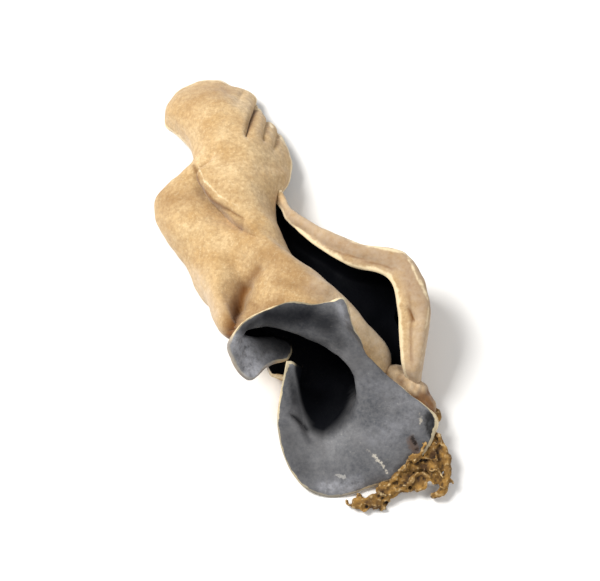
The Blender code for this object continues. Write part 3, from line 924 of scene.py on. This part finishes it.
def make_holdfast():
    """The melted holdfast, with how proud each point stands kept on its vertex in mm."""
    obj = raw_holdfast()
    melt = obj.modifiers.new("melt", "REMESH")
    melt.mode = "VOXEL"
    melt.voxel_size = VOXEL_MM * MM
    melt.use_smooth_shade = True
    bake(obj)
    bm = bmesh.new()
    bm.from_mesh(obj.data)
    proud = bm.verts.layers.float.new("proud")
    smooth(bm, SOFTEN_PASSES)
    for vert in bm.verts:
        crumbs = noise.turbulence(vert.co / MM / CRUMB_MM, CRUMB_OCTAVES, False)
        vert.co += vert.normal * (CRUMB_HEIGHT_MM * crumbs - CRUMB_SINK_MM) * MM
    rough_places = [vert.co.copy() for vert in bm.verts]
    smooth(bm, MEASURE_PASSES)
    for vert, rough_place in zip(bm.verts, rough_places):
        vert[proud] = (rough_place - vert.co).dot(vert.normal) / MM
        vert.co = rough_place
        vert.co.z = max(vert.co.z, 0.0)
    bm.to_mesh(obj.data)
    bm.free()
    return obj


holdfast = make_holdfast()
print("holdfast faces", len(holdfast.data.polygons))

# %% [markdown]
# ## How the finishes are built
# Each finish is a stack of thin coats: a colour goes over the one below with a share between 0
# and 1. A share comes from noise of a real size in millimetres, or from a number kept on the
# vertices. Noise reads Object coordinates, which are in metres, so that a pattern stays on its
# place of the ear. Two noises under the normal, a coarse one over a fine one, give the relief
# that is too small for the mesh.

# %% Nodes
def add(tree, kind, inputs=None, **settings):
    """Adds one node. An input is a value, or another node's output to link from."""
    node = tree.nodes.new(kind)
    for name, value in settings.items():
        setattr(node, name, value)
    for key, value in (inputs or {}).items():
        if isinstance(value, bpy.types.NodeSocket):
            tree.links.new(value, node.inputs[key])
        else:
            node.inputs[key].default_value = value
    return node


def started(name, *numbers):
    """A finish's node tree and shader, Object coordinates, and numbers kept on the vertices."""
    material = finishes[name]
    material.use_nodes = True
    tree = material.node_tree
    shader = tree.nodes["Principled BSDF"]
    where = add(tree, "ShaderNodeTexCoord").outputs["Object"]
    read = [add(tree, "ShaderNodeAttribute", attribute_name=key).outputs["Fac"] for key in numbers]
    return tree, shader, where, *read


# %% Patches, coats and relief
def per_mm(size_mm):
    """Noise scale on Object coordinates, in metres, for features of this size."""
    return 1000.0 / size_mm


def patches(tree, where, size_mm, low, high, detail=3.0, roughness=0.6, to_low=0.0, to_high=1.0):
    """Soft patches of a real size. Noise from low to high becomes a share from 0 to 1."""
    cloud = add(tree, "ShaderNodeTexNoise", {
        "Vector": where, "Scale": per_mm(size_mm), "Detail": detail, "Roughness": roughness})
    return add(tree, "ShaderNodeMapRange", {
        "Value": cloud.outputs["Fac"], "From Min": low, "From Max": high,
        "To Min": to_low, "To Max": to_high}).outputs["Result"]


def coat(tree, below, hex_colour, *shares):
    """Lays a colour over the one below. Where several shares are given, they are multiplied."""
    share = shares[0]
    for other in shares[1:]:
        share = add(tree, "ShaderNodeMath", {0: share, 1: other}, operation="MULTIPLY").outputs[0]
    return add(tree, "ShaderNodeMix", {0: share, 6: below, 7: linear(hex_colour)},
               data_type="RGBA").outputs[2]


def margin_and_highlight_share(tree, where, margin_and_highlight, low, high):
    """A share for the margin's colour and its painted highlight, made uneven so that no line along
    it looks ruled.
    """
    uneven = patches(tree, where, 1.6, 0.3, 0.7, to_low=-0.14, to_high=0.14)
    near = add(tree, "ShaderNodeMath", {0: margin_and_highlight, 1: uneven}).outputs[0]
    return add(tree, "ShaderNodeMapRange", {
        "Value": near, "From Min": low, "From Max": high}).outputs["Result"]


def relief(tree, shader, where, layers):
    """Bump in layers: size in mm, roughness of the noise, strength, and height in mm."""
    below = {}
    for size_mm, roughness, strength, height_mm in layers:
        cloud = add(tree, "ShaderNodeTexNoise", {
            "Vector": where, "Scale": per_mm(size_mm), "Detail": 3.0, "Roughness": roughness})
        bump = add(tree, "ShaderNodeBump", {
            "Height": cloud.outputs["Fac"], "Strength": strength, "Distance": height_mm * MM,
            **below})
        below = {"Normal": bump.outputs["Normal"]}
    tree.links.new(bump.outputs["Normal"], shader.inputs["Normal"])


# %% [markdown]
# ## Finish: tan felt back
# The back of this ear is covered in very short fine hairs, which dry to a matt tan suede. The
# eye reads fine mottling, brown in the hollows, and no gloss at all; that brown is partly stains
# and partly painted shade in the creases and valleys, and pale lines of painted highlight run
# along its crests. Noise in three sizes gives the mottling, and a little sheen stands for the
# light that the hairs catch. The hairs are far finer than the picture shows, so their bump is
# drawn at a third of a millimetre.

# %% Tan felt back
def felt_back(name):
    """Mottled tan, brown with stains and painted shade in the hollows, and a pale worn edge with
    lines of painted highlight.
    """
    tree, shader, where, margin_and_highlight, washed, stain_and_shade = started(
        name, "margin_and_highlight", "washed", "stain_and_shade")
    broad = patches(tree, where, 7.0, 0.35, 0.65)
    fine = patches(tree, where, 0.9, 0.38, 0.62, 4.0, 0.75)
    dots = patches(tree, where, 0.6, 0.54, 0.72, 2.0, 0.7)
    faded = patches(tree, where, 1.3, 0.3, 0.7, to_low=0.35)
    colour = coat(tree, linear("#B69361"), "#D0B385", broad)
    colour = coat(tree, colour, "#917046", fine, 0.55)
    colour = coat(tree, colour, "#E8D3A8", dots, 0.3)
    colour = coat(tree, colour, "#D3C0A6", washed, faded)
    # Brown stains, and painted shade in the creases and valleys.
    colour = coat(tree, colour, "#643A06", stain_and_shade)
    # The pale margin, and painted highlight along crests and rolled edges.
    colour = coat(tree, colour, "#E9D6AE", margin_and_highlight_share(tree, where, margin_and_highlight, 0.40, 0.62), 0.75)
    tree.links.new(colour, shader.inputs["Base Color"])
    shader.inputs["Roughness"].default_value = 0.92
    shader.inputs["Specular IOR Level"].default_value = 0.25
    shader.inputs["Sheen Weight"].default_value = 0.18
    shader.inputs["Sheen Roughness"].default_value = 0.6
    relief(tree, shader, where, [(0.33, 0.7, 0.35, 0.12), (1.8, 0.6, 0.5, 0.3)])
    print(name, "has", len(tree.nodes), "nodes")


felt_back("tan felt back")

# %% [markdown]
# ## Finish: slate smooth face
# The inner face bore the spores. It dries smooth and slate grey, with a faint dusty bloom and a
# few pale marks where it was rubbed. Painted shade makes it nearly black where it is deep, where
# it is turned from the light and in its pits, and painted highlight lies with the dust where the
# flap, the strip and the lip catch the light. A mid roughness gives a soft satin light. Bloom and
# dust are noise. Each mark is a straight line on the face, and its share falls off with the
# distance from that line.

# %% Marks on the slate
# Start and end of each mark with their heights, width in mm, share, colour. The pale marks are
# scratches; the dark ones are painted shade in the pits that the dents make.
SCRATCHES_AND_PIT_SHADE = [
    ((268.4, 430.4, 4.6), (273.4, 436.0, 3.4), 0.34, 0.8, "#D2C9B8"),
    ((266.2, 428.6, 4.8), (269.6, 432.6, 4.0), 0.26, 0.5, "#A39C92"),
    ((255.5, 437.6, 2.8), (258.5, 438.2, 2.6), 0.3, 0.5, "#C4BFB6"),
    ((284.8, 417.2, 7.0), (284.6, 419.6, 6.6), 0.4, 0.6, "#D9CDB4"),
    # Painted shade in the pits.
    ((288.0, 417.4, 6.7), (288.8, 421.8, 5.8), 1.5, 1.0, "#0F0D0D"),
    ((288.2, 419.0, 6.4), (288.5, 420.4, 6.1), 0.6, 0.5, "#4A4A4C"),
    ((281.6, 425.8, 4.9), (283.4, 428.6, 4.2), 1.2, 0.75, "#6B5445"),
    ((282.2, 425.0, 5.0), (282.8, 426.2, 4.7), 0.6, 1.0, "#1E120B"),
    ((283.8, 428.2, 4.3), (284.8, 428.0, 4.2), 0.4, 0.9, "#1E120B"),
]
# A mark is full up to this share of its width, and its outline wanders by so much.
FULL_WIDTH = 0.4
RAGGED_MM = 0.35
# Heights count for less than distances across, because the face is uneven.
HEIGHT_COUNTS = Vector((1.0, 1.0, 0.3))


def near_stroke(tree, where, start, end):
    """Distance in metres from a straight mark, worked out by the nodes."""
    start, end = (Vector(place(*spot)) * MM for spot in (start, end))
    run = (end - start) * HEIGHT_COUNTS
    offset = add(tree, "ShaderNodeVectorMath", {0: where, 1: start}, operation="SUBTRACT")
    offset = add(tree, "ShaderNodeVectorMath", {0: offset.outputs[0], 1: HEIGHT_COUNTS},
                 operation="MULTIPLY").outputs[0]
    along = add(tree, "ShaderNodeVectorMath", {0: offset, 1: run / run.length_squared},
                operation="DOT_PRODUCT").outputs["Value"]
    along = add(tree, "ShaderNodeClamp", {"Value": along}).outputs[0]
    foot = add(tree, "ShaderNodeVectorMath", {0: run, "Scale": along}, operation="SCALE").outputs[0]
    return add(tree, "ShaderNodeVectorMath", {0: offset, 1: foot}, operation="DISTANCE").outputs[1]


def marked(tree, where, colour):
    """The colour with every scratch and crumb mark, and the painted shade of every pit, laid over
    it.
    """
    ragged = patches(tree, where, 0.9, 0.3, 0.7, 3.0, 0.8, -RAGGED_MM * MM, RAGGED_MM * MM)
    for start, end, width, share, shade in SCRATCHES_AND_PIT_SHADE:
        gap = near_stroke(tree, where, start, end)
        gap = add(tree, "ShaderNodeMath", {0: gap, 1: ragged}).outputs[0]
        mark = add(tree, "ShaderNodeMapRange", {
            "Value": gap, "From Min": width * MM, "From Max": width * MM * FULL_WIDTH})
        colour = coat(tree, colour, shade, mark.outputs["Result"], share)
    return colour


print("marks on the slate", len(SCRATCHES_AND_PIT_SHADE))

# %% Slate smooth face
def smooth_face(name):
    """Satin slate with bloom, dust with painted highlight, marks and pit shade, and painted shade,
    near black, where it is deep or turned from the light.
    """
    tree, shader, where, margin_and_highlight, dust_and_highlight, dulled, deep = started(
        name, "margin_and_highlight", "dust_and_highlight", "dulled", "painted_shade")
    bloom = patches(tree, where, 9.0, 0.36, 0.66, 4.0)
    fine = patches(tree, where, 0.7, 0.35, 0.65, 4.0, 0.7)
    specks = patches(tree, where, 0.6, 0.60, 0.72, 3.0, 0.85)
    clouds = patches(tree, where, 6.0, 0.45, 0.62)
    grains = patches(tree, where, 1.5, 0.30, 0.62, 4.0, 0.7)
    bright = add(tree, "ShaderNodeMapRange", {"Value": dulled, "To Min": 1.0, "To Max": 0.0})
    colour = coat(tree, linear("#45464A"), "#676667", bloom)
    colour = coat(tree, colour, "#858381", fine, 0.35)
    colour = coat(tree, colour, "#A9A49C", specks, clouds, 0.5)
    colour = marked(tree, where, colour)
    # Dust, and painted highlight where the face catches the light.
    colour = coat(tree, colour, "#B6B6BB", dust_and_highlight, grains)
    colour = coat(tree, colour, "#D8C7A2", margin_and_highlight_share(tree, where, margin_and_highlight, 0.60, 0.70), 0.85,
                  bright.outputs["Result"])
    # Painted shade: near black where the face lies deep or is turned from the light.
    colour = coat(tree, colour, "#08090D", deep, 0.99)
    tree.links.new(colour, shader.inputs["Base Color"])
    shader.inputs["Roughness"].default_value = 0.52
    shine = add(tree, "ShaderNodeMapRange", {
        "Value": deep, "From Max": 0.9, "To Min": 0.4, "To Max": 0.03})
    tree.links.new(shine.outputs["Result"], shader.inputs["Specular IOR Level"])
    relief(tree, shader, where, [(0.5, 0.7, 0.3, 0.1), (2.6, 0.6, 0.5, 0.35)])
    print(name, "has", len(tree.nodes), "nodes")


smooth_face("slate smooth face")

# %% [markdown]
# ## Finish: pale cut margin
# The thin edge shows the dried jelly between the two faces. It is pale cream with darker places
# where it has worn, and grey where the slate has run over it.

# %% Pale margin
def pale_margin(name):
    """Worn cream, turning grey where the margin is dull."""
    tree, shader, where, dulled = started(name, "dulled")
    colour = coat(tree, linear("#E4D2AC"), "#B08E5C", patches(tree, where, 2.2, 0.35, 0.7))
    colour = coat(tree, colour, "#77777C", dulled)
    tree.links.new(colour, shader.inputs["Base Color"])
    shader.inputs["Roughness"].default_value = 0.8
    print(name, "has", len(tree.nodes), "nodes")


pale_margin("pale cut margin")

# %% [markdown]
# ## Finish: crumbly ochre holdfast
# Torn felt and old bark dry to ochre crumbs, with pale broken crests and dark pits. The pale
# of the crests is partly painted highlight, and the dark of the pits is painted shade. The number
# kept on each vertex picks the colour, so the pale and the dark follow the real relief.

# %% Crumbly holdfast
# How proud of its surroundings a point is, in mm, where the pale crests (partly painted highlight)
# and the painted shade of the pits start and are full.
CREST_MM = (0.04, 0.20)
PIT_MM = (-0.02, -0.16)


def crumbly(name):
    """Ochre patches with pale crests, partly painted highlight, and painted shade in the pits."""
    tree, shader, where, proud = started(name, "proud")
    colour = coat(tree, linear("#472D0C"), "#9A7233", patches(tree, where, 2.4, 0.35, 0.65))
    # Pale crests, partly painted highlight, and painted shade in the pits.
    for (begins, is_full), shade in ((CREST_MM, "#D9BF8E"), (PIT_MM, "#21140A")):
        share = add(tree, "ShaderNodeMapRange", {
            "Value": proud, "From Min": begins, "From Max": is_full})
        colour = coat(tree, colour, shade, share.outputs["Result"])
    tree.links.new(colour, shader.inputs["Base Color"])
    shader.inputs["Roughness"].default_value = 0.9
    relief(tree, shader, where, [(0.4, 0.7, 0.6, 0.2)])
    print(name, "has", len(tree.nodes), "nodes")


crumbly(CRUMBS)

# %% [markdown]
# ## Put it in the frame
# Both pieces ride on the part's one body and stand for its one solid.

# %% Ride, replace and finish
for piece in (ear, holdfast):
    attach(piece, "root")
    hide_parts("wood_ear")
